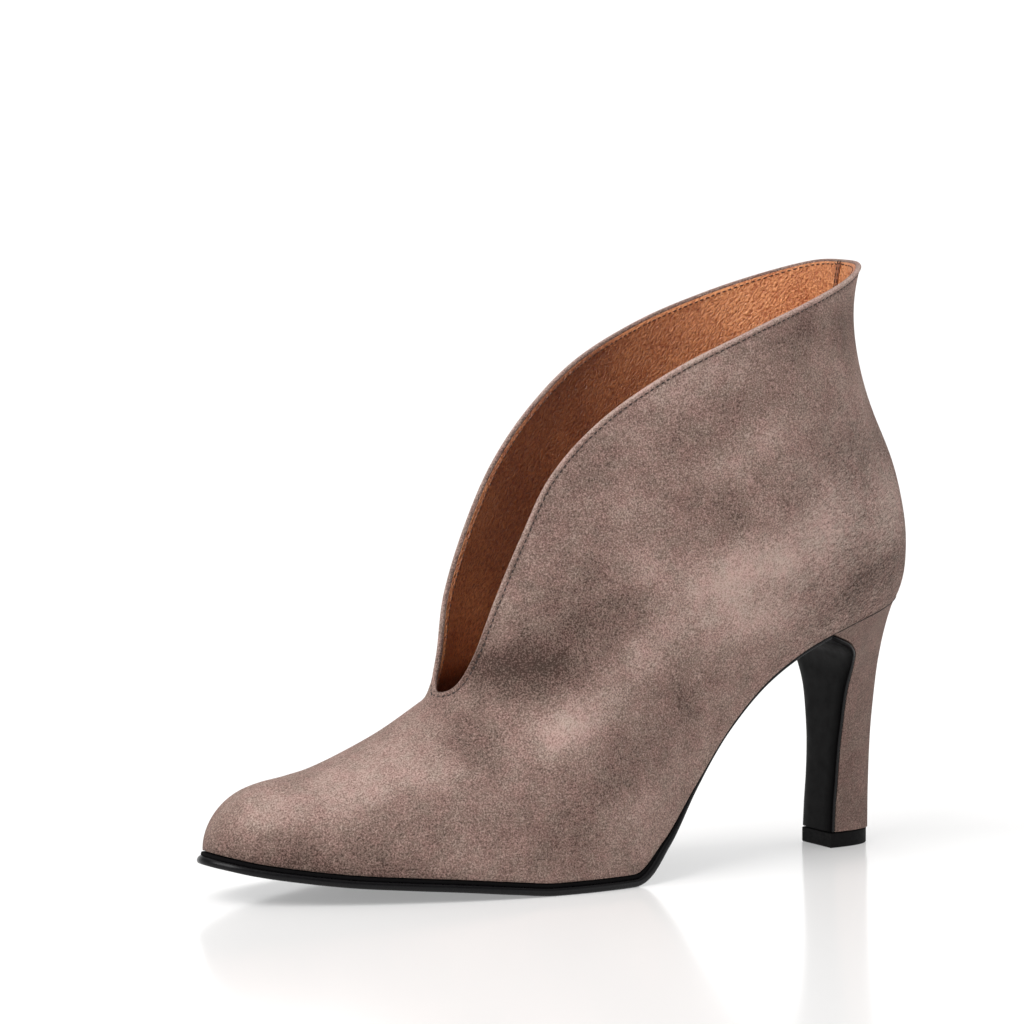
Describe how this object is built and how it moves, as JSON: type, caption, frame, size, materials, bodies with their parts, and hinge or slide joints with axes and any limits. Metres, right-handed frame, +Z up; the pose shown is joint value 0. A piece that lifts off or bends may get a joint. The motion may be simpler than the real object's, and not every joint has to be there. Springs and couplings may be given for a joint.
{
  "type": "high-heeled ankle bootie",
  "caption": "Left high-heeled suede ankle bootie with an almond toe, a deep narrow cut down the instep and a slim D-shaped heel.",
  "frame": {"origin": "centre of the top piece's underside, on the floor under the heel", "axes": "+X towards the toe, +Y towards the outer side of the left foot, +Z up"},
  "size_m": [0.2334, 0.076, 0.1774],
  "materials": {
    "suede": "taupe suede with a fine brushed nap, lined with smooth brown leather",
    "lining_leather": "smooth cognac leather, semi-matt",
    "sole_black": "black sole, satin on its faces and polished on its edge",
    "heel_suede": "taupe suede cover, stretched over the heel block",
    "top_piece_black": "hard black lift, matt"
  },
  "bodies": {
    "root": {"upper": "suede", "insole": "lining_leather", "outsole": "sole_black", "heel": "heel_suede", "top_piece": "top_piece_black"}
  },
  "joints": []
}
